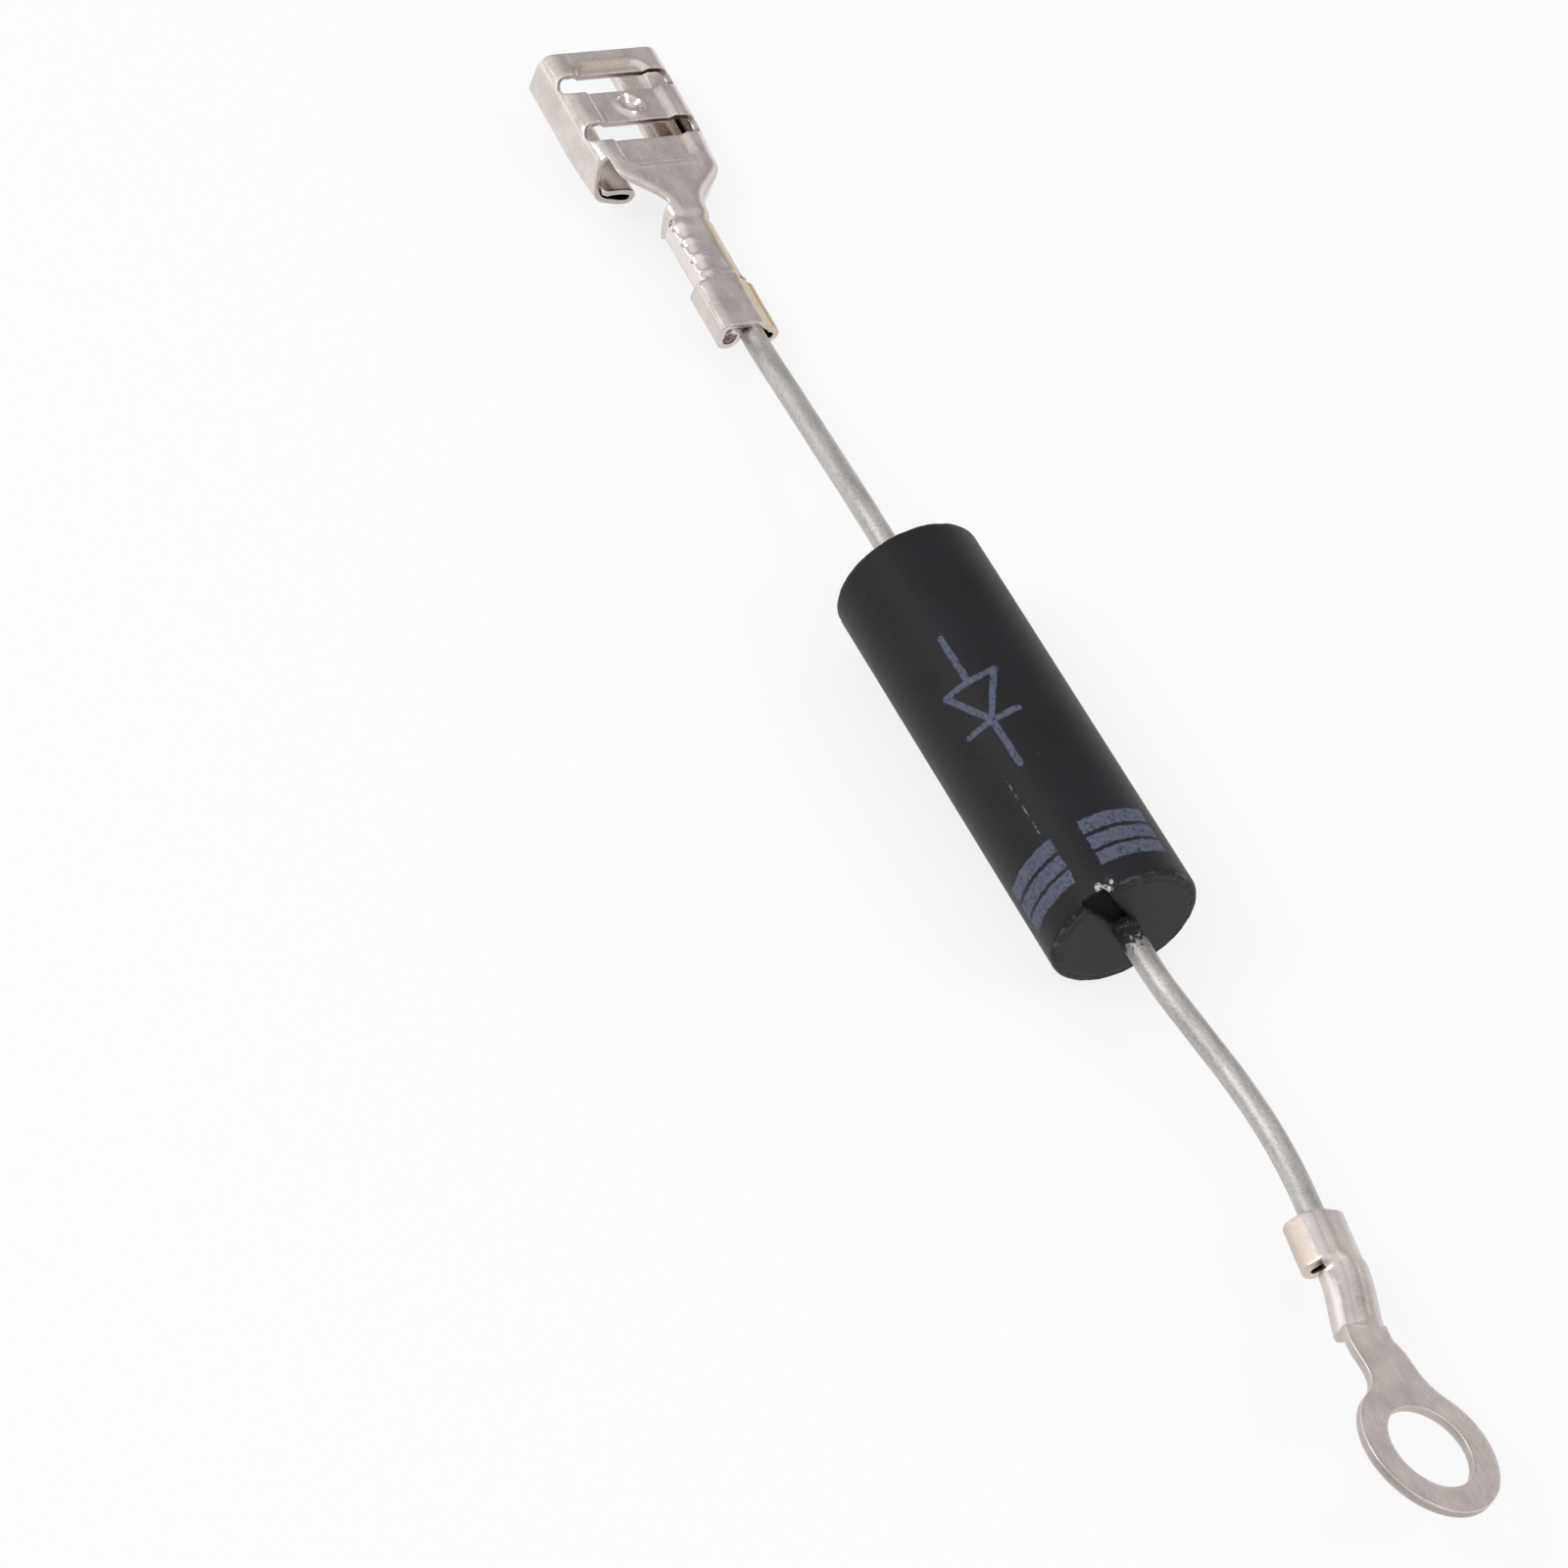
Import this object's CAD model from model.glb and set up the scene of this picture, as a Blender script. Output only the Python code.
import math
from functools import lru_cache

import bmesh
import bpy
import numpy as np
from mathutils import Matrix, Vector, noise
from mathutils.geometry import delaunay_2d_cdt


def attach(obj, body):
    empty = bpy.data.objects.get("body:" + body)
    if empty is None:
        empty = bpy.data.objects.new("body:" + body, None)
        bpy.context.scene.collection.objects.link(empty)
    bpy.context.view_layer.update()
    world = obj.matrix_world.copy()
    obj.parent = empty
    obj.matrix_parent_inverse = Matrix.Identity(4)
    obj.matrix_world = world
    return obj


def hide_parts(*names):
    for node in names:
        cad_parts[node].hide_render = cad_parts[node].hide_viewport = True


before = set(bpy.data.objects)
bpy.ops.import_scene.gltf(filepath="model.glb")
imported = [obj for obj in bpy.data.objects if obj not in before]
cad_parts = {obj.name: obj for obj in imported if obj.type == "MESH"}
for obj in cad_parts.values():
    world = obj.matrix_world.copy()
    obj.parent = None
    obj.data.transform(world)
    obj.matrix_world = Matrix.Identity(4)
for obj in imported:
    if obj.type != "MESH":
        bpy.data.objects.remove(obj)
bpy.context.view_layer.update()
MM = 0.001


# ---------- silicon dice ----------
# Twelve square chips sawn from a diffused wafer and stacked in series.
# Their faces are lapped grey silicon with the fine marks of the dicing saw.

class Value:
    """One output of a node. Arithmetic on it adds Math nodes."""

    def __init__(self, finish, socket):
        self.finish = finish
        self.socket = socket

    def math(self, operation, *others):
        inputs = dict(enumerate((self, *others)))
        return self.finish.node("ShaderNodeMath", {"operation": operation}, inputs)

    def __add__(self, other):
        return self.math("ADD", other)

    def __sub__(self, other):
        return self.math("SUBTRACT", other)

    def __rsub__(self, other):
        return self.math("MULTIPLY_ADD", -1.0, other)

    def __mul__(self, other):
        return self.math("MULTIPLY", other)

    def __truediv__(self, other):
        return self.math("DIVIDE", other)

    __radd__ = __add__
    __rmul__ = __mul__

    def __abs__(self):
        return self.math("ABSOLUTE")

    def least(self, other):
        return self.math("MINIMUM", other)

    def most(self, other):
        return self.math("MAXIMUM", other)

    def rise(self, low, high):
        """0 below low, 1 above high, smooth between; falls where low is above high."""
        return self.finish.node("ShaderNodeMapRange", {"interpolation_type": "SMOOTHSTEP"},
                                {"Value": self, "From Min": low, "From Max": high})

    def between(self, low, high, soft):
        return self.rise(low - soft, low + soft) * self.rise(high + soft, high - soft)

    def out(self, name):
        return Value(self.finish, self.socket.node.outputs[name])


class Finish:
    """A material in the making."""

    def __init__(self, name):
        self.material = bpy.data.materials.new(name)
        self.material.use_nodes = True
        self.tree = self.material.node_tree
        self.tree.nodes.clear()
        place = self.node("ShaderNodeTexCoord").out("Object")
        # the place on the piece, in millimetres
        self.place = self.node("ShaderNodeVectorMath", {"operation": "SCALE"},
                               {0: place, "Scale": 1 / MM})

    def node(self, kind, settings=(), inputs=()):
        """Adds a node: settings first, then values or links for its sockets."""
        made = self.tree.nodes.new(kind)
        for name, value in dict(settings).items():
            if name == "stops":
                stops = made.color_ramp.elements
                stops.remove(stops[1])
                stops[0].position = value[0][0]
                stops[0].color = (*value[0][1], 1)
                for at, colour in value[1:]:
                    stops.new(at).color = (*colour, 1)
            else:
                setattr(made, name, value)
        for name, value in dict(inputs).items():
            if isinstance(value, Value):
                self.tree.links.new(value.socket, made.inputs[name])
            elif isinstance(value, tuple) and made.inputs[name].type == "RGBA":
                made.inputs[name].default_value = (*value, 1)
            else:
                made.inputs[name].default_value = value
        shown = [out for out in made.outputs if out.enabled]
        return Value(self, shown[0]) if shown else None

    def grain(self, size, detail=2.0, stretch=(1, 1, 1), rough=0.5):
        """Cloudy noise from 0 to 1, with lumps of that size in millimetres."""
        at = self.node("ShaderNodeVectorMath", {"operation": "MULTIPLY"},
                       {0: self.place, 1: tuple(1 / (size * s) for s in stretch)})
        return self.node("ShaderNodeTexNoise", {},
                         {"Vector": at, "Scale": 1.0, "Detail": detail, "Roughness": rough})

    def ramp(self, value, *stops):
        return self.node("ShaderNodeValToRGB", {"stops": stops}, {"Fac": value})

    def blend(self, share, under, over):
        """Colour under where share is 0 and colour over where it is 1."""
        return self.node("ShaderNodeMix", {"data_type": "RGBA"}, {0: share, 6: under, 7: over})

    def surface(self, inputs, relief=None):
        """The finished material. Relief is a height in millimetres."""
        inputs = dict(inputs)
        if relief is not None:
            inputs["Normal"] = self.node("ShaderNodeBump", {},
                                         {"Strength": 1.0, "Distance": MM, "Height": relief})
        shader = self.node("ShaderNodeBsdfPrincipled", {}, inputs)
        self.node("ShaderNodeOutputMaterial", {}, {"Surface": shader})
        return self.material


def dress(piece, material):
    """Gives a piece its finish and its body."""
    piece.data.materials.clear()
    piece.data.materials.append(material)
    if piece.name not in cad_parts:
        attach(piece, "root")


DICE = 12
silicon = Finish("diced silicon")
saw_marks = silicon.grain(0.06, 3.0, (1, 8, 1))
silicon_cloud = silicon.grain(0.9)
silicon_finish = silicon.surface({
    "Base Color": silicon.ramp(silicon_cloud, (0.3, (0.17, 0.18, 0.22)), (0.7, (0.26, 0.27, 0.31))),
    "Metallic": 0.85,
    "Roughness": 0.25 + 0.25 * saw_marks,
}, 0.004 * saw_marks)
for number in range(1, DICE + 1):
    dress(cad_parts[f"silicon_die_{number:02}"], silicon_finish)


# ---------- solder joints ----------
# A thin solder layer wets each pair of facing dice and the two slugs.
# It froze with a dull, slightly frosted skin.

solder = Finish("soft solder")
frost = solder.grain(0.12, 4.0)
solder_finish = solder.surface({
    "Base Color": solder.ramp(frost, (0.3, (0.40, 0.41, 0.42)), (0.7, (0.60, 0.60, 0.59))),
    "Metallic": 1.0,
    "Roughness": 0.35 + 0.3 * frost,
}, 0.01 * frost)
for number in range(1, DICE + 2):
    dress(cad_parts[f"solder_joint_{number:02}"], solder_finish)


# ---------- electrode slugs ----------
# Two turned copper discs close the stack and carry its heat into the leads.
# The bare metal has darkened a little in the soldering oven.

copper = Finish("turned copper")
tarnish = copper.grain(0.7, 3.0)
lathe_marks = copper.grain(0.05, 2.0, (0.6, 9, 9))
copper_finish = copper.surface({
    "Base Color": copper.ramp(tarnish, (0.3, (0.55, 0.25, 0.14)), (0.7, (0.78, 0.42, 0.27))),
    "Metallic": 1.0,
    "Roughness": 0.25 + 0.2 * tarnish,
}, 0.005 * lathe_marks)
for side in ("anode", "cathode"):
    dress(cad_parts[f"{side}_slug"], copper_finish)


# ---------- junction coating ----------
# A bead of white silicone resin seals the edges of the dice.
# It is brushed on wet and cures to a waxy, faintly lumpy spindle.

silicone = Finish("cured junction resin")
brushing = silicone.grain(0.8, 3.0)
silicone_finish = silicone.surface({
    "Base Color": silicone.ramp(brushing, (0.3, (0.72, 0.71, 0.66)), (0.7, (0.84, 0.83, 0.79))),
    "Roughness": 0.35 + 0.2 * brushing,
}, 0.06 * brushing)
dress(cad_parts["junction_coating"], silicone_finish)


# ---------- leads ----------
# Two stiff 1.2 mm copper wires with a dull hot-tinned skin. Each starts in a
# nail head against its slug, leaves the body and is bent by hand to its terminal.

BODY_R = 3.75
BODY_L = 22.5
WIRE_R = 0.6
WIRE_SIDES = 32
NAIL_HEAD = (1.5, 0.6)  # radius, thickness
NAIL_HEAD_X = 3.12  # its face, from the middle of the body
# each stretch: straight run, bend radius, bend angle, and the way it turns
ANODE_PATH = ((4.1, 15, 9.1, -74.6), (10.4, 6, 10.8, 97.6))
ANODE_LAST_RUN = 0.3
CATHODE_PATH = ((2.2, 10, 12.8, -43.2), (3.6, 20, 23.1, 144))
CATHODE_LAST_RUN = 0.4
ANODE_CRIMPED = 7.7  # length of wire inside the terminal
CATHODE_CRIMPED = 6.6

LYING_X, LYING_Y = 2.061, 0.029  # middle of the body, where it lies
LYING = Matrix.Translation((LYING_X, LYING_Y, BODY_R))
ANODE_END = LYING @ Matrix.Diagonal((-1, 1, 1, 1)) @ Matrix.Translation((BODY_L / 2, 0, 0))
CATHODE_END = LYING @ Matrix.Translation((BODY_L / 2, 0, 0))


def roll(degrees):
    """A turn about the line of the wire."""
    return Matrix.Rotation(math.radians(degrees), 4, "X")


def bent(run, radius, angle, turn):
    """The frame at the end of a straight run and a bend."""
    return (roll(turn) @ Matrix.Translation((run, radius, 0))
            @ Matrix.Rotation(math.radians(angle), 4, "Z")
            @ Matrix.Translation((0, -radius, 0)) @ roll(-turn))


def wire_frames(start, path, last_run, step=0.3):
    """Frames along a lead, from the body's face to the wire's end."""
    for run, radius, angle, turn in path:
        for i in range(math.ceil(run / step)):
            yield start @ Matrix.Translation((i * step, 0, 0))
        arc = math.radians(angle) * radius
        count = math.ceil(arc / step)
        for i in range(count):
            yield start @ bent(run, radius, angle * i / count, turn)
        start = start @ bent(run, radius, angle, turn)
    for i in range(math.ceil(last_run / step) + 1):
        yield start @ Matrix.Translation((min(i * step, last_run), 0, 0))


def end_of(start, path, last_run):
    """The frame where a lead enters its terminal."""
    for stretch in path:
        start = start @ bent(*stretch)
    return start @ Matrix.Translation((last_run, 0, 0))


def as_piece(name, points, faces, crease=40):
    """A closed mesh piece from points in millimetres, with its faces turned outward."""
    mesh = bpy.data.meshes.new(name)
    mesh.from_pydata([Vector(p) * MM for p in points], [], faces)
    work = bmesh.new()
    work.from_mesh(mesh)
    bmesh.ops.recalc_face_normals(work, faces=work.faces)
    work.to_mesh(mesh)
    work.free()
    mesh.shade_smooth()
    mesh.set_sharp_from_angle(angle=math.radians(crease))
    piece = bpy.data.objects.new(name, mesh)
    bpy.context.collection.objects.link(piece)
    return piece


def skinned(name, rings, endless=False, crease=40):
    """A piece whose skin runs over rings of points, capped unless it is endless."""
    size = len(rings[0])
    points = [p for ring in rings for p in ring]
    faces = []
    for i in range(len(rings) if endless else len(rings) - 1):
        near, far = i * size, (i + 1) % len(rings) * size
        faces += [(near + k, near + (k + 1) % size, far + (k + 1) % size, far + k)
                  for k in range(size)]
    if not endless:
        faces += [tuple(range(size)), tuple(range(len(points) - size, len(points)))]
    return as_piece(name, points, faces, crease)


def wobble(at, size):
    """Smooth noise from -1 to 1, with lumps of that size."""
    return noise.noise(Vector(at) / size)


def lead(name, start, path, last_run, crimped):
    """A wire with its nail head, from its slug to the end that is crimped."""
    inside = BODY_L / 2 - NAIL_HEAD_X
    head_r, head_t = NAIL_HEAD
    stations = [(start @ Matrix.Translation((x - inside, 0, 0)), r)
                for x, r in ((0, head_r - 0.05), (0.05, head_r), (head_t - 0.05, head_r),
                             (head_t, head_r - 0.05), (head_t, WIRE_R), (inside - 0.3, WIRE_R))]
    stations += [(at, WIRE_R) for at in wire_frames(start, path, last_run + crimped)]
    rings = []
    for at, radius in stations:
        ring = []
        for k in range(WIRE_SIDES):
            turn = math.tau * k / WIRE_SIDES
            way = Vector((0, math.cos(turn), math.sin(turn)))
            spot = at @ (way * radius)
            swell = 0.012 * wobble(spot, 1.1) + 0.006 * wobble(spot, 0.4)
            ring.append(at @ (way * (radius + swell)))
        rings.append(ring)
    return skinned(name, rings)


tinned = Finish("hot-tinned copper wire")
dross = tinned.grain(0.14, 4.0)
drawn = tinned.grain(0.5, 3.0, (6, 1, 1))
pits = tinned.grain(0.07, 2.0).rise(0.62, 0.75)
along = tinned.node("ShaderNodeSeparateXYZ", {}, {0: tinned.place}).out("X") - LYING_X
# resin that crept up the wire at the cathode's exit
creep = (tinned.grain(0.22, 3.0) + (12.55 - along) * 0.42).rise(0.52, 0.6) * along.rise(10.9, 11.2)
bare_tin = tinned.ramp(0.5 * dross + 0.5 * drawn, (0.32, (0.40, 0.37, 0.35)),
                       (0.5, (0.54, 0.51, 0.485)), (0.68, (0.68, 0.65, 0.62)))
worn_tin = tinned.blend(0.5 * pits, bare_tin, (0.2, 0.18, 0.165))
wire_finish = tinned.surface({
    "Base Color": tinned.blend(creep, worn_tin, (0.02, 0.02, 0.021)),
    "Metallic": 1 - creep,
    "Roughness": 0.4 + 0.18 * dross + 0.1 * creep,
}, 0.016 * dross - 0.012 * pits + 0.03 * creep)

for side, start, path, last_run, crimped in (
        ("anode", ANODE_END, ANODE_PATH, ANODE_LAST_RUN, ANODE_CRIMPED),
        ("cathode", CATHODE_END, CATHODE_PATH, CATHODE_LAST_RUN, CATHODE_CRIMPED)):
    wire = lead(f"{side}_wire", start, path, last_run, crimped)
    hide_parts(f"{side}_lead")
    dress(wire, wire_finish)


# ---------- moulded body ----------
# A solid cylinder of black epoxy, transfer moulded round the junction and both
# nail heads. The gate was snapped off its cathode end, and one rim is chipped.

RIM_R = 0.25
SCAR_TURN = 119.5  # degrees round the body
SCAR_ASIDE = 0.16
SCAR_DEPTH = 0.35
SCAR_HALF_W = 0.3  # at the wire, and how much wider it is for each millimetre outward
SCAR_SPREAD = 0.105
CHIP_TURN = 196
CHIP_DEPTH = 0.33
CHIP_HALF_W = 0.72
STACK_HALF = 2.32
COATING_R = 2.2
ROUND = 288  # points round the body
DEGREE = math.radians(1) * BODY_R  # one degree round the body's side, in millimetres


def body_profile():
    """Radius and place along the axis, once round the section of the moulding."""
    half = BODY_L / 2
    steps = 34
    bore_r = WIRE_R + 0.01
    face = [bore_r + (BODY_R - RIM_R - WIRE_R) * i / steps for i in range(steps)]
    rim = [(BODY_R - RIM_R + RIM_R * math.sin(a), half - RIM_R + RIM_R * math.cos(a))
           for a in (math.pi / 2 * i / 7 for i in range(8))]
    side = [(BODY_R, half - RIM_R - (half - RIM_R) * i / 30) for i in range(1, 31)]
    bore = [(bore_r, half - 0.7 * i) for i in range(1, 11)]
    head_r, head_x = NAIL_HEAD[0], NAIL_HEAD_X + NAIL_HEAD[1]
    inside = [(bore_r, head_x), (head_r, head_x), (head_r, STACK_HALF)]
    spindle = [(head_r + (COATING_R - head_r) * math.cos(math.pi / 2 * x / STACK_HALF), x)
               for x in (1.8, 1.2, 0.6)]
    outer = [(r, half) for r in face] + rim + side
    inner = bore + inside + spindle + [(COATING_R, 0)]
    return ([(r, -x) for r, x in outer[:-1]] + [(r, x) for r, x in reversed(outer)]
            + inner[:-1] + [(r, -x) for r, x in reversed(inner)])


def moulded(r, x, turn):
    """A point of the moulding: scar, chip, worn rims and mould sink."""
    y, z = r * math.cos(turn), r * math.sin(turn)
    half = BODY_L / 2
    if r > WIRE_R + 0.1:
        lean = turn - math.radians(SCAR_TURN)
        across, out = r * math.sin(lean), r * math.cos(lean)
        ragged = 0.06 * wobble((x, y * 2.2, z * 2.2), 0.6)
        open_w = SCAR_HALF_W + SCAR_SPREAD * max(out, 0) + ragged
        share = (min(1, max(0, (open_w - abs(across + SCAR_ASIDE)) / 0.1))
                 * min(1, max(0, (out + 0.1) / 0.2)))
        floor = half - SCAR_DEPTH * share * (1 + 0.15 * wobble((x, y, z), 0.35))
        x = min(x, floor)
        off = (turn - math.radians(CHIP_TURN) + math.pi) % math.tau - math.pi
        reach = max(0, 1 - (off * BODY_R / CHIP_HALF_W) ** 2)
        bite = CHIP_DEPTH * reach * (0.9 + 0.5 * wobble((y, z, x), 0.22))
        gap = bite - (x + half) - (BODY_R - r)
        if gap > 0:
            x += gap / 2
            r -= gap / 2
        if r > BODY_R - 2 * RIM_R and abs(x) > half - 2 * RIM_R:
            worn = 0.02 + 0.035 * wobble((x, y, z), 0.5) + 0.02 * wobble((x, y, z), 0.17)
            x -= math.copysign(max(0, worn), x)
        r += 0.01 * wobble((x * 0.4, y, z), 2.5) if abs(x) < half - 0.4 else 0
    return LYING @ Vector((x, r * math.cos(turn), r * math.sin(turn)))


body = skinned("moulded_body",
               [[moulded(r, x, math.tau * k / ROUND) for k in range(ROUND)]
                for r, x in body_profile()], endless=True, crease=50)

epoxy = Finish("black moulded epoxy")
axes = epoxy.node("ShaderNodeSeparateXYZ", {}, {0: epoxy.place})
x_at = axes.out("X") - LYING_X
y_at = axes.out("Y") - LYING_Y
z_at = axes.out("Z") - BODY_R
angle = (z_at.math("ARCTAN2", y_at) * (180 / math.pi) + 360).math("MODULO", 360.0)
distance = (y_at * y_at + z_at * z_at).math("SQRT")
cloud = epoxy.grain(2.2, 3.0)
filler = epoxy.grain(0.09, 3.0)
dust = epoxy.grain(0.16, 2.0).rise(0.74, 0.8)

# polarity mark: three ink stripes toward the cathode, rolled on in four pads
ragged_x = x_at + 0.24 * (epoxy.grain(0.3, 3.0) - 0.5)
ragged_turn = angle + 5.0 * (epoxy.grain(0.3, 3.0) - 0.5)
STRIPES = ((7.27, 8.03), (8.26, 8.99), (9.17, 9.88))
PADS = ((45, 100), (122, 178), (199, 254), (276, 331))
stripes = sum(ragged_x.between(low, high, 0.035) for low, high in STRIPES)
pads = sum(ragged_turn.between(low, high, 0.7) for low, high in PADS)


# diode sign: the plain symbol, drawn along the body and pointing to the cathode
def stroke(u, v, start, end):
    """Distance to a pen stroke from start to end."""
    run, lift = end[0] - start[0], end[1] - start[1]
    length = run * run + lift * lift
    share = (((u - start[0]) * run + (v - start[1]) * lift) / length).most(0.0).least(1.0)
    du, dv = u - start[0] - share * run, v - start[1] - share * lift
    return (du * du + dv * dv).math("SQRT")


SIGN = (((-4.9, 0.05), (-2.1, 0.0)), ((-2.1, 1.35), (-2.05, -1.35)), ((-2.1, 1.35), (0.3, 0.0)),
        ((-2.1, -1.35), (0.3, 0.0)), ((0.35, 1.35), (0.4, -1.35)), ((0.35, 0.0), (3.1, -0.05)))
PEN_HALF_W = 0.15
SIGN_TURN = 112
pen_x = x_at + 0.10 * (epoxy.grain(0.5) - 0.5)
pen_y = (angle - SIGN_TURN) * DEGREE + 0.10 * (epoxy.grain(0.45) - 0.5)
nearest = stroke(pen_x, pen_y, *SIGN[0])
for line in SIGN[1:]:
    nearest = nearest.least(stroke(pen_x, pen_y, *line))
sign = nearest.rise(PEN_HALF_W + 0.05, PEN_HALF_W - 0.03)
thin_ink = epoxy.grain(0.2, 4.0, (1, 1, 1), 0.65)
on_side = distance.rise(BODY_R - 0.12, BODY_R - 0.06)
ink = (stripes * pads).most(sign) * thin_ink.rise(0.28, 0.44) * on_side * 0.92

# a faint scratch, and pale crushed resin where the gate broke away
scratch_line = abs(angle - 126 + 1.2 * (epoxy.grain(1.5) - 0.5)).rise(0.9, 0.3)
scratch = scratch_line * x_at.between(3.4, 7.3, 0.5) * epoxy.grain(0.25, 3.0).rise(0.46, 0.6)
# place along the body, degrees round it, and size
CRUMBS = ((10.80, 110.5, 0.17), (11.12, 107.5, 0.23), (11.2, 104.5, 0.12), (10.9, 101, 0.08))
crushed = sum(stroke(x_at, (angle - turn) * DEGREE, (x - 0.05, 0), (x + 0.05, 0.04))
              .rise(size + 0.04, size - 0.04).least(1.0)
              for x, turn, size in CRUMBS)
crushed = crushed.least(1.0) * epoxy.grain(0.13, 3.0).rise(0.36, 0.5) * distance.rise(3.55, 3.62)
bruise = (x_at.between(10.55, 11.2, 0.2) * angle.between(99, 115, 4.0)
          * epoxy.grain(0.3, 3.0).rise(0.5, 0.7))
corner = BODY_R + BODY_L / 2  # where the side would meet the face, if the rim were sharp
rim_line = (distance + abs(x_at)).rise(corner - 0.21, corner - 0.15)
nicks = rim_line * epoxy.grain(0.5, 3.0).rise(0.42, 0.62)
groove = x_at.between(10.5, 11.1, 0.06) * distance.rise(3.72, 3.6)
black = epoxy.ramp(cloud, (0.3, (0.0100, 0.0092, 0.0118)), (0.7, (0.0150, 0.0140, 0.0186)))
pale = (crushed + 0.06 * bruise + 0.13 * nicks + 0.32 * scratch + 0.16 * dust).least(1.0)
dusty = epoxy.blend(pale, black, (0.56, 0.53, 0.51))
dusty = epoxy.blend(0.8 * groove, dusty, (0.002, 0.002, 0.002))
ink_colour = epoxy.ramp(thin_ink, (0.3, (0.062, 0.074, 0.118)), (0.7, (0.130, 0.150, 0.222)))
body_finish = epoxy.surface({
    "Base Color": epoxy.blend(ink, dusty, ink_colour),
    "Roughness": 0.36 + 0.14 * cloud + 0.08 * filler + 0.14 * ink + 0.4 * groove,
    "Specular IOR Level": 0.2,
}, 0.004 * filler + 0.012 * ink + 0.02 * crushed - 0.01 * scratch)
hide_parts("case")
dress(body, body_finish)


# ---------- resin collar ----------
# A crust of epoxy flash that climbed the cathode lead in the mould.
# It clings to the wire as ragged black crumbs just outside the end face.

COLLAR = (10.95, 12.0)  # from and to, along the body
COLLAR_STEPS = 18
COLLAR_SIDES = 60
rings = []
for i in range(COLLAR_STEPS + 1):
    x = COLLAR[0] + (COLLAR[1] - COLLAR[0]) * i / COLLAR_STEPS
    ring = []
    for k in range(COLLAR_SIDES):
        turn = math.tau * k / COLLAR_SIDES
        spot = (x * 1.3, math.cos(turn), math.sin(turn))
        lump = (0.05 * (1 - i / COLLAR_STEPS) + 0.06 * wobble(spot, 0.3)
                + 0.04 * wobble(spot, 0.12))
        radius = WIRE_R - 0.02 + max(-0.03, lump) * (1 if i < COLLAR_STEPS else 0)
        ring.append(LYING @ Vector((x, radius * math.cos(turn), radius * math.sin(turn))))
    rings.append(ring)
collar = skinned("resin_collar", rings, crease=70)
crust = Finish("epoxy flash")
crumbs = crust.grain(0.1, 4.0)
collar_finish = crust.surface({
    "Base Color": crust.ramp(crumbs, (0.35, (0.012, 0.012, 0.013)), (0.62, (0.05, 0.05, 0.05)),
                             (0.7, (0.30, 0.29, 0.28))),
    "Roughness": 0.3 + 0.3 * crumbs,
}, 0.03 * crumbs)
dress(collar, collar_finish)


# ---------- tab receptacle ----------
# A push-on socket for a 6.3 mm tab, stamped and folded from tin-plated brass.
# Its blank is flat-cut with two windows, then folded into box, barrel and grip.

def smooth(low, high, at):
    """0 at low, 1 at high, smooth between; falls where low is above high."""
    share = min(1, max(0, (at - low) / (high - low)))
    return share * share * (3 - 2 * share)


def even(loop, step):
    """A closed outline with points no further apart than step."""
    points = []
    for (x0, y0), (x1, y1) in zip(loop, loop[1:] + loop[:1]):
        count = max(1, math.ceil(math.hypot(x1 - x0, y1 - y0) / step))
        points += [(x0 + (x1 - x0) * i / count, y0 + (y1 - y0) * i / count) for i in range(count)]
    return points


def inset(loop, depth):
    """The outline moved to its left by depth."""
    moved = []
    for before, at, after in zip(loop[-1:] + loop[:-1], loop, loop[1:] + loop[:1]):
        one = (Vector(at) - Vector(before)).normalized()
        two = (Vector(after) - Vector(at)).normalized()
        way = (one + two).normalized()
        way = Vector((-way.y, way.x))
        lift = depth / max(0.5, way.dot(Vector((-one.y, one.x))))
        moved.append((at[0] + way.x * lift, at[1] + way.y * lift))
    return moved


def inside(points, loops):
    """Which points lie on the metal, between the outline and its openings."""
    x, y = np.asarray(points).T
    odd = np.zeros(len(x), bool)
    for loop in loops:
        for (x0, y0), (x1, y1) in zip(loop, loop[1:] + loop[:1]):
            if y0 != y1:
                odd ^= ((y0 > y) != (y1 > y)) & (x < (x1 - x0) * (y - y0) / (y1 - y0) + x0)
    return odd


EDGE_R = 0.05  # rounding of the cut edges
EDGE_STEPS = 3
BLANK_SPAN = 20  # length of blank, in millimetres, that fills its map


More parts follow.
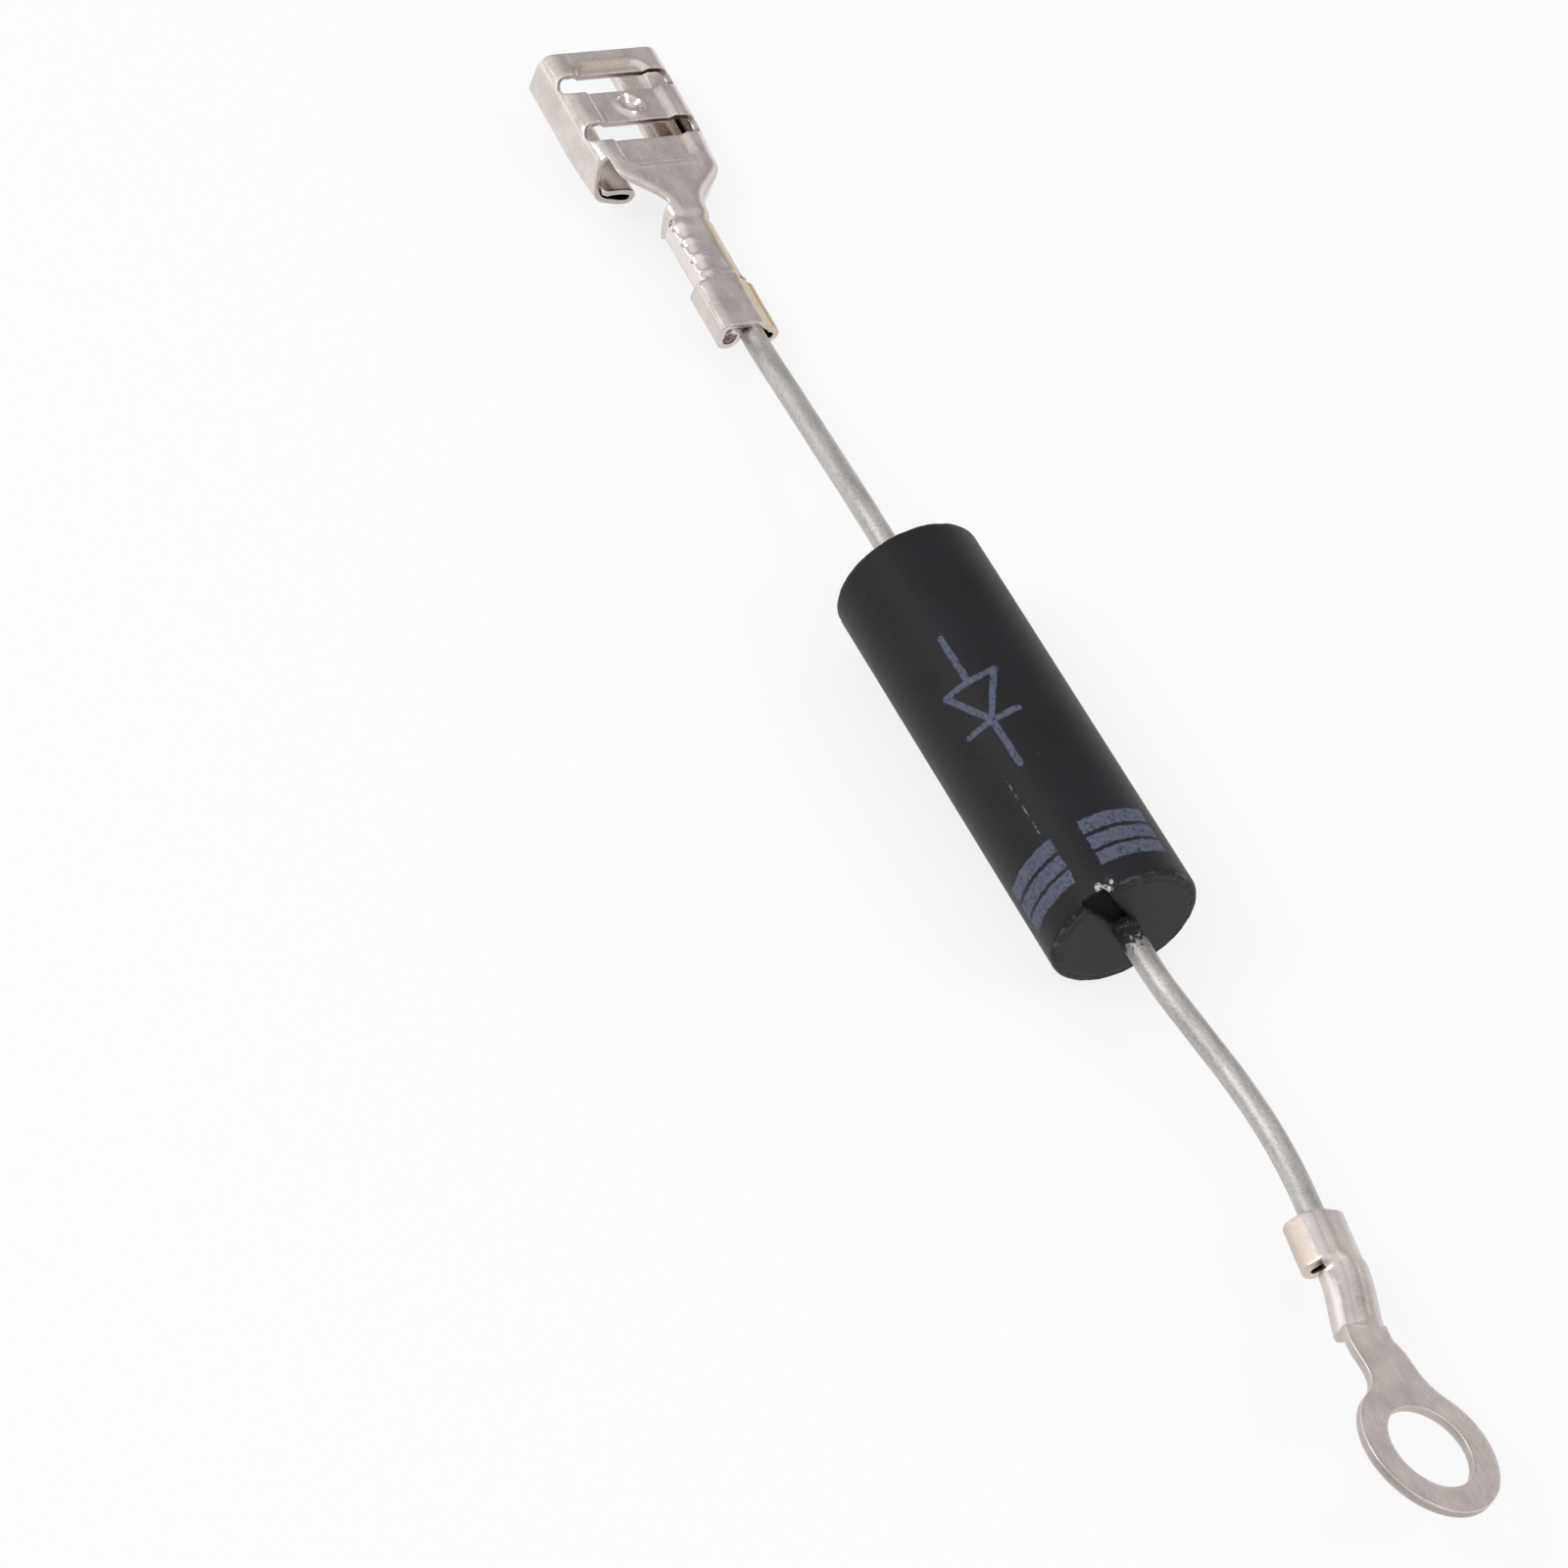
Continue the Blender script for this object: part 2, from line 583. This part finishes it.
def stamped(name, loops, folded, thick, step):
    """A piece of strip metal, cut flat along loops and folded point by point.
    Its map "blank" holds the place on the flat blank, and its map "layer" the depth in
    the strip, from 0 on the outer face to 1 on the inner one."""
    loops = [even(loop, step) for loop in loops]
    flat_loops = [inset(loop, EDGE_R) for loop in loops]
    border = [p for loop in flat_loops for p in loop]
    edges, first = [], 0
    for loop in flat_loops:
        edges += [(first + i, first + (i + 1) % len(loop)) for i in range(len(loop))]
        first += len(loop)
    xs, ys = zip(*border)
    grid = [(x, y) for x in np.arange(min(xs), max(xs), step)
            for y in np.arange(min(ys), max(ys), step)]
    grid = np.array(grid)[inside(grid, flat_loops)]
    rim = np.array(border)
    clear = [np.abs(rim - p).max(axis=1).min() > step * 0.6 for p in grid]
    flat = border + [tuple(p) for p in grid[clear]]
    points, _, faces, origin, _, _ = delaunay_2d_cdt([Vector(p) for p in flat], edges, [], 0, 1e-6)
    at = {given: i for i, found in enumerate(origin) for given in found}
    centres = [sum((points[k] for k in face), Vector((0, 0))) / len(face) for face in faces]
    faces = [f for f, keep in zip(faces, inside([tuple(c) for c in centres], flat_loops)) if keep]
    count = len(points)
    half = thick / 2
    solid = [folded(p.x, p.y, half) for p in points] + [folded(p.x, p.y, -half) for p in points]
    flats = [tuple(p) for p in points] * 2
    depths = [0] * count + [1] * count
    shell = [tuple(f) for f in faces] + [tuple(count + k for k in reversed(f)) for f in faces]
    turns = [math.pi / 2 * i / EDGE_STEPS for i in range(1, EDGE_STEPS + 1)]
    levels = [(EDGE_R * (1 - math.sin(a)), half - EDGE_R * (1 - math.cos(a))) for a in turns]
    levels += [(depth, -height) for depth, height in reversed(levels)]
    first = 0
    for loop in loops:
        size = len(loop)
        rows = [[at[first + i] for i in range(size)]]
        for depth, height in levels:
            row = inset(loop, depth)
            rows.append(list(range(len(solid), len(solid) + size)))
            solid += [folded(x, y, height) for x, y in row]
            flats += row
            depths += [(half - height) / thick] * size
        rows.append([count + k for k in rows[0]])
        for upper, lower in zip(rows, rows[1:]):
            shell += [(upper[i], lower[i], lower[(i + 1) % size], upper[(i + 1) % size])
                      for i in range(size)]
        first += size
    piece = as_piece(name, solid, shell, 60)
    blank = piece.data.uv_layers.new(name="blank")
    corners = np.array([flats[loop.vertex_index] for loop in piece.data.loops], np.float32)
    blank.uv.foreach_set("vector", (corners / BLANK_SPAN).ravel())
    layer = piece.data.uv_layers.new(name="layer")
    corners = np.array([(depths[loop.vertex_index], 0) for loop in piece.data.loops], np.float32)
    layer.uv.foreach_set("vector", corners.ravel())
    return piece


def walked(sides, s):
    """Place across, place up and slope at a distance s along a folded section's two sides."""
    side, left = (1 if s >= 0 else -1), abs(s)
    section = sides[0 if s >= 0 else 1]
    across, up, slope = 0.0, 0.0, 0.0
    for length, turn in section:
        part = min(left, length)
        if length > 0 and turn:
            bend = math.radians(turn) * part / length
            radius = length / math.radians(turn)
            across += radius * (math.sin(slope + bend) - math.sin(slope))
            up -= radius * (math.cos(slope) - math.cos(slope + bend))
            slope += bend
        else:
            across += part * math.cos(slope)
            up -= part * math.sin(slope)
        left -= part
        if left <= 0:
            break
    across += left * math.cos(slope)
    up -= left * math.sin(slope)
    return side * across, up, side * slope


def mixed(one, two, share):
    """A section part of the way from one to two, on both of its sides."""
    return tuple(tuple((a + (c - a) * share, b + (d - b) * share) for (a, b), (c, d) in zip(*side))
                 for side in zip(one, two))


def stadium(x, half_w, half_l):
    """A window across the strip, with round ends, wound so that the metal is on its left."""
    arc = [math.pi * i / 14 for i in range(15)]
    top = [(x + half_w * math.cos(a), half_l - half_w + half_w * math.sin(a)) for a in arc]
    low = [(x - half_w * math.cos(a), half_w - half_l - half_w * math.sin(a)) for a in arc]
    return (top + low)[::-1]


SOCKET_STRIP = 0.35
SOCKET_BACK = 0.89  # outer face of the back, above the wire's axis
GRIP_L = 3.2
# where each part starts, along the terminal from the grip's end
BARREL_X = 3.36
NECK_X = 7.7
BOX_X = 11.2
MOUTH_X = 19.4
BOX_HALF_W = 3.45
NECK_HALF_W = 1.2
CORNER = (0.903, 90)
# each side of a section, +y first: lengths of strip with the degrees that each turns down
GRIP = (((0.15, 0), (0.25, 33), (1.05, 0), (0.9, 147), (0.7, 0), (0.3, 40), (0.3, 0)),
        ((1.45, 0), (0.5, 90), (0.55, 0), (1.63, 180), (0.2, 0), (0.3, 75), (0.5, 0)))
BARREL = (((0.28, 0), (0.3, 40), (0.55, 0), (1.4, 165), (0.5, 0), (0, 0), (0, 0)),
          ((0.95, 0), (0.62, 90), (0.5, 0), (1.5, 180), (0.3, 0), (0, 0), (0, 0)))
# half widths of the blank: right and left
GRIP_REACH = (3.65, 5.1)
BARREL_REACH = (3.0, 3.85)
BOX_REACH = 8.6
DEEPER = 0.45  # how much the box's left wall is deeper than its right one


def socket_half_w(x):
    """Half width of the back, seen from above, along the taper."""
    share = min(1, max(0, (x - NECK_X) / (BOX_X - NECK_X)))
    full = BOX_HALF_W - 0.22 * smooth(14.5, 11.2, x)
    return NECK_HALF_W + (full - NECK_HALF_W) * (1 - math.cos(math.pi * share ** 1.5)) / 2


def taper_reach(x, lip):
    """Half width of the blank along the taper, where its edges turn down."""
    hang = lip + (1.9 - lip) * smooth(1.0, 0.15, x - NECK_X)
    return socket_half_w(x) - 0.75 + 0.903 + hang - 0.75


@lru_cache(None)
def socket_section(x):
    """The folded section at a place along the terminal."""
    flat = (socket_half_w(x) - 0.75, 0)
    taper = (flat, CORNER, (6, 0), (0, 0), (0, 0), (0, 0), (0, 0))
    left_box, right_box = ((flat, CORNER, (wall, 0), CORNER, (1.0, 0), (0.95, 165), (1.4, 30))
                           for wall in (0.85 + DEEPER, 0.85))
    if x < (GRIP_L + BARREL_X) / 2 + 0.1:
        return mixed(GRIP, BARREL, smooth(GRIP_L - 0.05, BARREL_X, x))
    if x < NECK_X + 0.2:
        return mixed(BARREL, (taper, taper), smooth(NECK_X - 0.35, NECK_X + 0.15, x))
    return (taper, taper) if x < BOX_X else (right_box, left_box)


WINDOWS_X = (13.82, 17.22)
PANEL = (11.25, 18.55, 2.15)  # from, to and half width
PANEL_DEPTH = 0.16
PANEL_CORNER = 0.8
DIMPLE = (15.55, 0.0, 0.62)  # along, across and radius
SERRATIONS = (3.75, 4.85, 6.0, 7.05)
SCORE = 1.22  # across, where the crimping die scored the grip


def socket_relief(x, s):
    """Pressed features of the strip, along its normal."""
    low, high, half = PANEL
    off = min(x - low, high - x, half - abs(s))
    corner = (max(0, PANEL_CORNER - min(x - low, high - x)),
              max(0, PANEL_CORNER - (half - abs(s))))
    if corner[0] > 0 and corner[1] > 0:
        off = PANEL_CORNER - math.hypot(*corner)
    lift = -PANEL_DEPTH * smooth(0, 0.22, off) + 0.035 * math.exp(-(off / 0.12) ** 2)
    dent = math.hypot(x - DIMPLE[0], s - DIMPLE[1])
    lift -= 0.2 * smooth(DIMPLE[2], 0.2, dent)
    lift += 0.18 * math.exp(-((dent - DIMPLE[2]) / 0.13) ** 2)
    if BARREL_X < x < NECK_X + 0.3:
        lift -= 0.09 * smooth(BARREL_X, BARREL_X + 0.35, x) * smooth(NECK_X + 0.3, NECK_X - 0.2, x)
        for mark in SERRATIONS:
            curve = mark + 0.1 * (s + 0.9) ** 2 + 0.05 * wobble((s, mark, 0), 0.5)
            lift += (0.1 * math.exp(-((x - curve) / 0.12) ** 2)
                     * smooth(-2.2, -1.6, s) * smooth(-0.2, -0.7, s))
    if x < GRIP_L:
        lift -= 0.09 * math.exp(-((s - SCORE) / 0.07) ** 2)
    lift += 0.012 * wobble((x, s, 0), 1.3) + 0.005 * wobble((x, s, 4), 0.45)
    return lift


SOCKET = end_of(ANODE_END, ANODE_PATH, ANODE_LAST_RUN) @ roll(-19)


def fold_socket(x, s, height):
    """Where a point of the blank comes to, height above the strip's middle."""
    across, up, slope = walked(socket_section(round(x, 4)), s)
    height += socket_relief(x, s)
    up += SOCKET_BACK - SOCKET_STRIP / 2
    return SOCKET @ Vector((x, across + height * math.sin(slope), up + height * math.cos(slope)))


def outline(right, left):
    """A closed outline from its two edges, each listed from the grip to the mouth."""
    return [(x, -s) for x, s in left] + [(x, s) for x, s in reversed(right)]


def socket_edge(grip, barrel, gap, lip, wall_x, rail):
    """One edge of the blank, as distances from its middle line. Grip, barrel and gap
    are half widths, lip is how far the taper turns down, and the rail starts at wall_x."""
    steps = [NECK_X + 0.12 + (wall_x - NECK_X - 0.12) * i / 28 for i in range(29)]
    return ([(0, 0.4), (0, grip - 0.12), (0.12, grip), (GRIP_L - 0.12, grip), (GRIP_L, grip - 0.12),
             (GRIP_L, gap), (BARREL_X, gap), (BARREL_X, barrel - 0.1), (BARREL_X + 0.1, barrel),
             (NECK_X - 0.55, barrel), (NECK_X - 0.42, barrel - 0.15), (NECK_X - 0.38, 2.3),
             (NECK_X - 0.1, 2.2)]
            + [(x, taper_reach(x, lip)) for x in steps] + rail)


RIGHT_RAIL = [(BOX_X + 0.02, BOX_REACH - 0.2), (BOX_X + 0.2, BOX_REACH), (16.4, BOX_REACH),
              (17.9, 7.3), (MOUTH_X - 0.2, 7.1), (MOUTH_X, 6.9), (MOUTH_X, 0.4)]
LEFT_WALL_X = 12.1
LEFT_REACH = BOX_REACH + DEEPER
LEFT_RAIL = [(12.05, 3.6), (11.5, 5.3), (BOX_X + 0.05, 6.2), (BOX_X + 0.03, 6.6),
             (BOX_X + 0.03, LEFT_REACH - 0.2), (BOX_X + 0.2, LEFT_REACH),
             (16.1, LEFT_REACH), (16.5, LEFT_REACH - 0.3), (16.9, 6.0),
             (MOUTH_X - 0.2, 5.8), (MOUTH_X, 5.6), (MOUTH_X, 0.4)]
right_edge = socket_edge(GRIP_REACH[0], BARREL_REACH[0], 0.55, 2.0, BOX_X, RIGHT_RAIL)
left_edge = socket_edge(GRIP_REACH[1], BARREL_REACH[1], 1.35, 0.15, LEFT_WALL_X, LEFT_RAIL)
windows = [stadium(x, 0.625, 3.28) for x in WINDOWS_X]
socket = stamped("tab_socket", [outline(right_edge, left_edge)] + windows,
                 fold_socket, SOCKET_STRIP, 0.16)


def plating(name, shine, warm, rubbed, stained, cut):
    """Bright tin over brass, cloudy and finely pitted. Brass shows where it is warm,
    and the crimping die has burnished it where it is rubbed. The inner face has
    stained dark up to the length stained, and the cut edges are duller by cut."""
    tin = Finish(name)
    haze = tin.grain(1.4, 3.0)
    speckle = tin.grain(0.09, 3.0)
    scuff = tin.grain(0.18, 3.0, (5, 1, 1)).rise(0.56, 0.7)
    blank = tin.node("ShaderNodeUVMap", {"uv_map": "blank"})
    cut = tin.node("ShaderNodeSeparateXYZ", {}, {0: blank})
    x, s = cut.out("X") * BLANK_SPAN, cut.out("Y") * BLANK_SPAN
    brass = sum(share * x.between(x0, x1, 0.3) * s.between(s0, s1, 0.2)
                for x0, x1, s0, s1, share in warm)
    brass = brass * (0.65 + 0.5 * haze)
    layer = tin.node("ShaderNodeUVMap", {"uv_map": "layer"})
    depth = tin.node("ShaderNodeSeparateXYZ", {}, {0: layer}).out("X")
    dark = depth.rise(0.8, 0.98) * x.rise(stained, stained - 1.2) * 0.9
    edge = depth.between(0.15, 0.85, 0.1) * cut
    burnished = sum(x.between(x0, x1, 0.2) * s.between(s0, s1, 0.12) for x0, x1, s0, s1 in rubbed)
    grey = tin.ramp(0.6 * haze + 0.4 * speckle, (0.35, (0.60, 0.54, 0.515)),
                    (0.5, (0.70, 0.635, 0.605)), (0.65, (0.80, 0.735, 0.70)))
    scuffed = tin.blend(0.35 * scuff + 0.6 * burnished, grey, (0.90, 0.85, 0.82))
    worn = tin.blend(dark, tin.blend(edge, scuffed, (0.38, 0.34, 0.32)), (0.10, 0.085, 0.08))
    return tin.surface({
        "Base Color": tin.blend(brass, worn, (0.56, 0.40, 0.23)),
        "Metallic": 1.0,
        "Roughness": (shine - 0.15 * burnished) + 0.16 * haze + 0.1 * speckle + 0.08 * scuff,
    }, 0.003 * speckle + 0.012 * haze)


# on the blank: along from and to, across from and to, and how much brass shows
SOCKET_WARM = ((0, 3.2, 0.35, 1.9, 1), (3.4, 7.5, 0.35, 1.6, 1), (17.9, 18.7, -2.4, 1.2, 0.3))
SOCKET_RUBBED = ((3.4, 7.6, -2.2, -0.8),)
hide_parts("tab_receptacle")
dress(socket, plating("bright tinned brass", 0.12, SOCKET_WARM, SOCKET_RUBBED, 13.0, 0))


# ---------- ring terminal ----------
# A ring tongue for an M4 screw, stamped from slightly thicker tinned brass.
# The tongue stays flat; the wings behind it are rolled round the wire.

RING_STRIP = 0.45
RING_BACK = 0.99  # outer face of the back, above the wire's axis
RING_GRIP = (0.75, 3.35)  # from and to, along the terminal
RING_BARREL_X = (3.6, 7.2)
RING_X = 13.9  # middle of the ring
RING_R = 3.5
HOLE_R = 2.15
# half widths of the strap between barrel and ring, at places along it: right, then left
STRAPS = (((7.5, 0.93), (8.1, 1.0), (8.4, 1.2), (8.8, 1.36), (9.59, 1.42)),
          ((7.5, 1.4), (8.3, 1.46), (9.0, 1.42), (9.59, 1.42)))
FLARE_R = 2.0
ROLLED_RIGHT = ((0.55, 0), (0, 0), (0, 0), (0, 0), (0.7, 90), (0.6, 0), (0.6, 100), (0.6, 0))
GRIPPED_LEFT = ((0.3, 0), (0.16, 52), (0.1, 0), (0.16, -52),
                (0.4, 62), (0.6, 0), (1.1, 170), (0.5, 0))
GRIPPED = (ROLLED_RIGHT, GRIPPED_LEFT)
FLAT = (((3, 0),) + 7 * ((0.2, 0),),) * 2
CREASE = 0.08  # across, where the die pressed the left lobe
BARRELLED_LEFT = ((CREASE, 0), (0.16, 50), (0.08, 0), (0.16, -50),
                  (0.34, 62), (0.42, 0), (0.7, 150), (0.5, 0))
BARRELLED = (((0.46, 0),) + ROLLED_RIGHT[1:], BARRELLED_LEFT)
RING_WINGS = ((2.9, 2.9), (3.3, 2.7))  # half widths of the grip and barrel: right, then left


@lru_cache(None)
def ring_section(x):
    """The folded section at a place along the terminal."""
    start, end = RING_BARREL_X
    if x < end + 0.02:
        return mixed(GRIPPED, BARRELLED, smooth(RING_GRIP[1], start, x))
    return mixed(BARRELLED, FLAT, smooth(end + 0.05, end + 0.4, x))


def ring_relief(x, s):
    """Pressed features and unevenness of the strip, along its normal."""
    lift = 0.012 * wobble((x, s, 9), 2.0) + 0.004 * wobble((x, s, 3), 0.5)
    start, end = RING_BARREL_X
    if start < x < end:
        # teeth of the crimping die along the crease
        teeth = 0.5 + 0.5 * math.cos(math.tau * x / 0.42) + 0.4 * wobble((x, 0, 0), 0.3)
        lift += (0.1 * teeth * math.exp(-((s + CREASE) / 0.1) ** 2)
                 * smooth(start, start + 0.3, x) * smooth(end, end - 0.3, x))
    return lift


def ring_sway(x):
    """How far the strip leans aside: crimped a little askew, and straight again at the ring."""
    return (0.2 * smooth(RING_GRIP[1], 3.6, x) - 0.7 * smooth(3.6, 8.1, x)) * smooth(11.3, 8.3, x)


RING = end_of(CATHODE_END, CATHODE_PATH, CATHODE_LAST_RUN) @ roll(-31)


def fold_ring(x, s, height):
    """Where a point of the blank comes to, height above the strip's middle."""
    across, up, slope = walked(ring_section(round(x, 4)), s)
    height += ring_relief(x, s)
    up += RING_BACK - RING_STRIP / 2
    across += ring_sway(x)
    return RING @ Vector((x, across + height * math.sin(slope), up + height * math.cos(slope)))


flare_y = STRAPS[0][-1][1] + FLARE_R
flare_x = RING_X - math.sqrt((RING_R + FLARE_R) ** 2 - flare_y ** 2)
meet = math.atan2(flare_y, flare_x - RING_X)
flare_arc = [(flare_x + FLARE_R * math.sin(a), flare_y - FLARE_R * math.cos(a))
             for a in ((meet - math.pi / 2) * i / 16 for i in range(17))]
tongue_arc = [(RING_X + RING_R * math.cos(a), RING_R * math.sin(a))
              for a in (meet * (1 - i / 48) for i in range(1, 48))]


def ring_edge(grip, barrel, strap):
    """One edge of the blank, as distances from its middle line."""
    grip_start, grip_end = RING_GRIP
    start, end = RING_BARREL_X
    return ([(grip_start, 0.4), (grip_start, grip - 0.1), (grip_start + 0.1, grip),
             (grip_end - 0.1, grip), (grip_end, grip - 0.1), (grip_end, 1.1), (start, 1.1),
             (start, barrel - 0.1), (start + 0.1, barrel), (end - 0.1, barrel), (end, barrel - 0.1),
             (end + 0.03, strap[0][1])] + list(strap) + flare_arc + tongue_arc)


stud_hole = [(RING_X + HOLE_R * math.cos(a), -HOLE_R * math.sin(a))
             for a in (math.tau * i / 90 for i in range(90))]
ring_loops = [outline(*(ring_edge(*wings, strap) for wings, strap in zip(RING_WINGS, STRAPS))),
              stud_hole]
ring = stamped("ring_tongue", ring_loops, fold_ring, RING_STRIP, 0.17)
RING_WARM = ((0.7, 3.4, -2.3, -1.3, 0.35), (3.6, 7.4, -1.9, -1.4, 0.25))
RING_RUBBED = ((0.8, 3.3, -1.15, -0.75), (3.7, 7.2, -1.2, -0.3))
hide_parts("ring_terminal")
dress(ring, plating("satin tinned brass", 0.24, RING_WARM, RING_RUBBED, 8.0, 0.7))


# ---------- table and light ----------
# The diode lies on a plain white table that runs on out of sight.
# Two soft boxes and a pale room light it evenly.

TABLE_HALF = 1.5
TABLE_Z = -0.00002  # just clear of the body
table_mesh = bpy.data.meshes.new("white_table")
table_mesh.from_pydata([(x * TABLE_HALF, y * TABLE_HALF, TABLE_Z)
                        for x, y in ((-1, -1), (1, -1), (1, 1), (-1, 1))], [], [(0, 1, 2, 3)])
table = bpy.data.objects.new("white_table", table_mesh)
bpy.context.collection.objects.link(table)
table_top = Finish("white table")
ray = table_top.node("ShaderNodeLightPath")
seen = ray.most(ray.out("Is Glossy Ray")).most(ray.out("Is Transmission Ray"))
plain = table_top.node("ShaderNodeBsdfDiffuse", {}, {"Color": (0.9, 0.9, 0.9)})
glow = table_top.node("ShaderNodeEmission", {}, {"Color": (1.0, 1.0, 1.0), "Strength": 1.0})
lit = table_top.node("ShaderNodeMixShader", {}, {0: 0.8 * seen, 1: plain, 2: glow})
table_top.node("ShaderNodeOutputMaterial", {}, {"Surface": lit})
table_mesh.materials.append(table_top.material)

room = bpy.data.worlds.new("pale room")
room.use_nodes = True
bpy.context.scene.world = room
sky = Finish("room light")
for old in list(room.node_tree.nodes):
    room.node_tree.nodes.remove(old)
sky.tree = room.node_tree
ray = sky.node("ShaderNodeLightPath")
way = sky.node("ShaderNodeSeparateXYZ", {}, {0: sky.node("ShaderNodeTexCoord").out("Generated")})
walls = sky.ramp(way.out("Z"), (0.0, (0.62, 0.61, 0.60)), (0.35, (0.42, 0.41, 0.41)),
                 (0.75, (0.78, 0.77, 0.77)), (1.0, (0.95, 0.94, 0.94)))
# a low, bright window beyond the anode
toward = way * -0.8 + way.out("Y") * -0.6
window = toward.rise(0.72, 0.92) * way.out("Z").between(0.02, 0.42, 0.05)
air = sky.blend(ray, sky.blend(window, walls, (1.25, 1.25, 1.27)), (1.0, 1.0, 1.0))
backdrop = sky.node("ShaderNodeBackground", {}, {"Color": air, "Strength": 1.0})
sky.node("ShaderNodeOutputWorld", {}, {"Surface": backdrop})


def soft_box(name, spot, size, power):
    """A square area lamp that faces the diode."""
    lamp = bpy.data.lights.new(name, "AREA")
    lamp.size = size
    lamp.energy = power
    box = bpy.data.objects.new(name, lamp)
    box.location = spot
    box.rotation_euler = (Vector((0, 0, 0)) - Vector(spot)).to_track_quat("-Z", "Y").to_euler()
    bpy.context.collection.objects.link(box)


soft_box("left soft box", (-0.18, -0.34, 0.45), 0.25, 0.75)
soft_box("right soft box", (0.30, 0.30, 0.38), 0.20, 0.45)


# ---------- camera ----------
# A long lens looks down on the diode from the ring terminal's side.

RIGHT = Vector((0.4325, 0.9017, 0.0))
UP = Vector((-0.7297, 0.3501, 0.5874))
BACK = Vector((0.5296, -0.2541, 0.8094))
SPOT = Vector((0.143491, -0.079668, 0.22415))
lens = bpy.data.cameras.new("camera")
lens.lens = 135
lens.sensor_width = 36
lens.clip_start = 0.01
camera = bpy.data.objects.new("camera", lens)
camera.matrix_world = Matrix((
    (RIGHT.x, UP.x, BACK.x, SPOT.x),
    (RIGHT.y, UP.y, BACK.y, SPOT.y),
    (RIGHT.z, UP.z, BACK.z, SPOT.z),
    (0, 0, 0, 1)))
bpy.context.collection.objects.link(camera)
bpy.context.scene.camera = camera
bpy.context.scene.view_settings.view_transform = "Standard"
